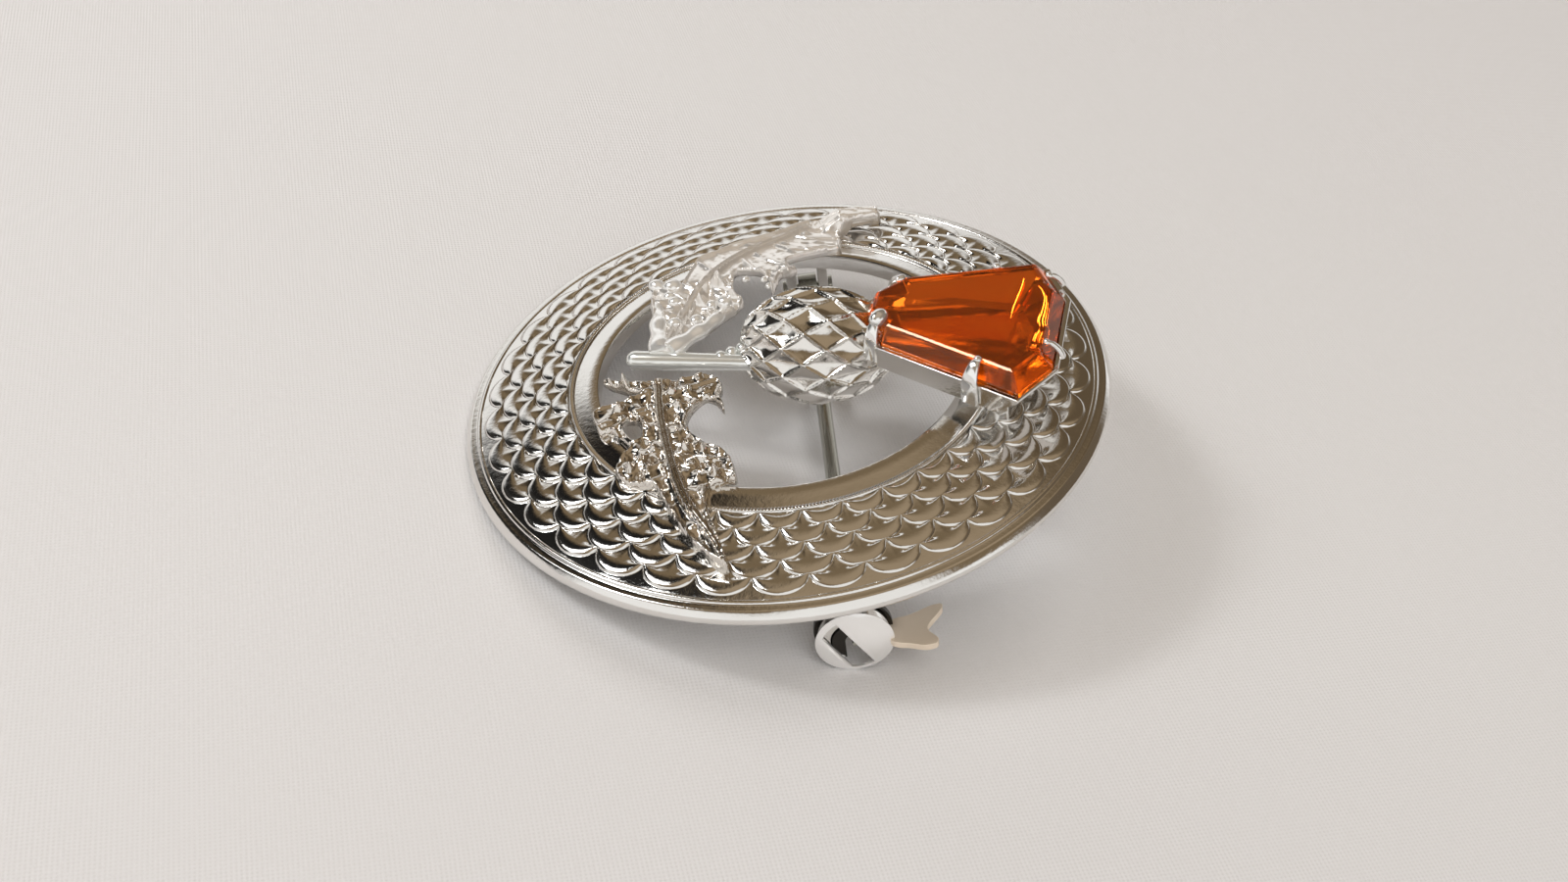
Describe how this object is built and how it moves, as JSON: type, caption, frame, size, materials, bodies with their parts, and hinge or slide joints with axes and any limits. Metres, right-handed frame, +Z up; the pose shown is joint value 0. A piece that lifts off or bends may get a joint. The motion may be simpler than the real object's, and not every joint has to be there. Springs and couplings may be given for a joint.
{
  "type": "thistle brooch",
  "caption": "Round openwork brooch: a ring of fish scales, a leafy thistle across its hole, a claw-set orange stone, a hinged pin and a turning catch.",
  "frame": {"origin": "middle of the bounding box's base, on the surface the brooch rests on", "axes": "+Z up; the pin runs along Y with its hinge at +Y and its catch at -Y; the stone is on the +X side, which rests higher"},
  "size_m": [0.0458, 0.047, 0.0172],
  "materials": {
    "bright_metal": "bright rhodium-like plating on cast metal, darker in the hollows",
    "orange_stone": "polished, foiled behind",
    "pin_metal": "plain polished wire",
    "catch_metal": "bright plating"
  },
  "bodies": {
    "root": {"ring_and_thistle": "bright_metal", "stone": "orange_stone", "hinge_rivet": "pin_metal"},
    "pin": {"pin_stem": "pin_metal"},
    "rotor": {"catch_rotor": "catch_metal"}
  },
  "joints": [
    {"name": "pin_hinge", "type": "hinge", "parent": "root", "child": "pin", "pos_m": [0.00372, 0.0186, 0.00196], "axis": [0.9715, 0, 0.2371], "range_deg": [0, 90]},
    {"name": "catch_turn", "type": "hinge", "parent": "root", "child": "rotor", "pos_m": [0.00356, -0.0216, 0.00263], "axis": [0, 1, 0], "range_deg": [0, 90]}
  ]
}
